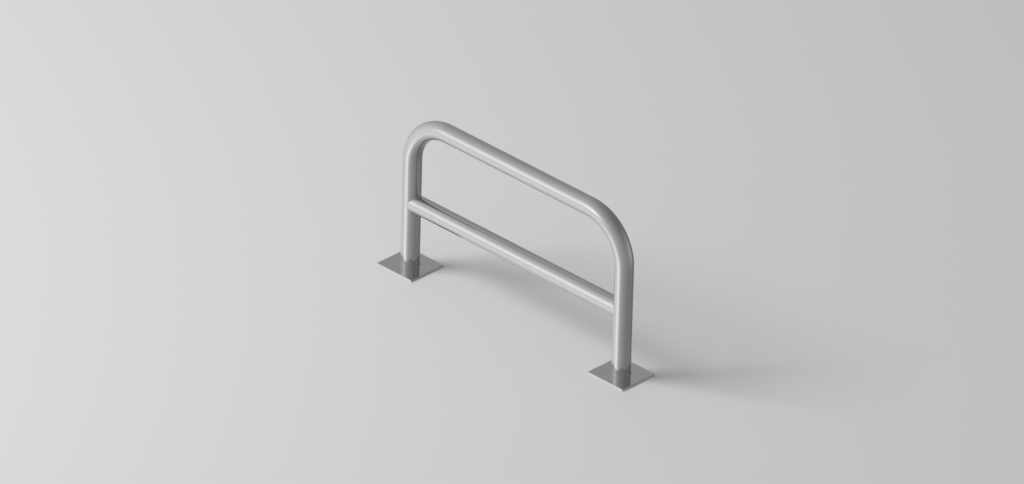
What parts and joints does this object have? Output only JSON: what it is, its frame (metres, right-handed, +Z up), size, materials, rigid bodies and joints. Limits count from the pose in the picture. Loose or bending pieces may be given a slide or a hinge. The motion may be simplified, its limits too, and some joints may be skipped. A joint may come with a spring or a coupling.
{
  "type": "hoop bike rack",
  "caption": "Inverted-U bicycle rack of bent round tube with a straight cross rail and a plain base plate under each leg, fixed from below.",
  "frame": {"origin": "on the ground, midway between the two legs, at the underside of the base plates", "axes": "+X along the hoop, +Y across it, +Z up"},
  "size_m": [1.35, 0.18, 0.71],
  "materials": {
    "hoop_steel": "satin polished stainless tube",
    "rail_steel": "satin polished stainless tube",
    "plate_steel": "polished stainless plate",
    "weld_steel": "dressed stainless weld",
    "nut_steel": "bright drawn stainless hexagon bar"
  },
  "bodies": {
    "root": {"hoop_tube": "hoop_steel", "cross_rail": "rail_steel", "base_plate_left": "plate_steel", "base_plate_right": "plate_steel", "anchor_nut_left": "nut_steel", "anchor_nut_right": "nut_steel", "nut_weld_left": "weld_steel", "nut_weld_right": "weld_steel", "foot_weld_left": "weld_steel", "foot_weld_right": "weld_steel", "rail_weld_left_top": "weld_steel", "rail_weld_left_bottom": "weld_steel", "rail_weld_right_top": "weld_steel", "rail_weld_right_bottom": "weld_steel"}
  },
  "joints": []
}
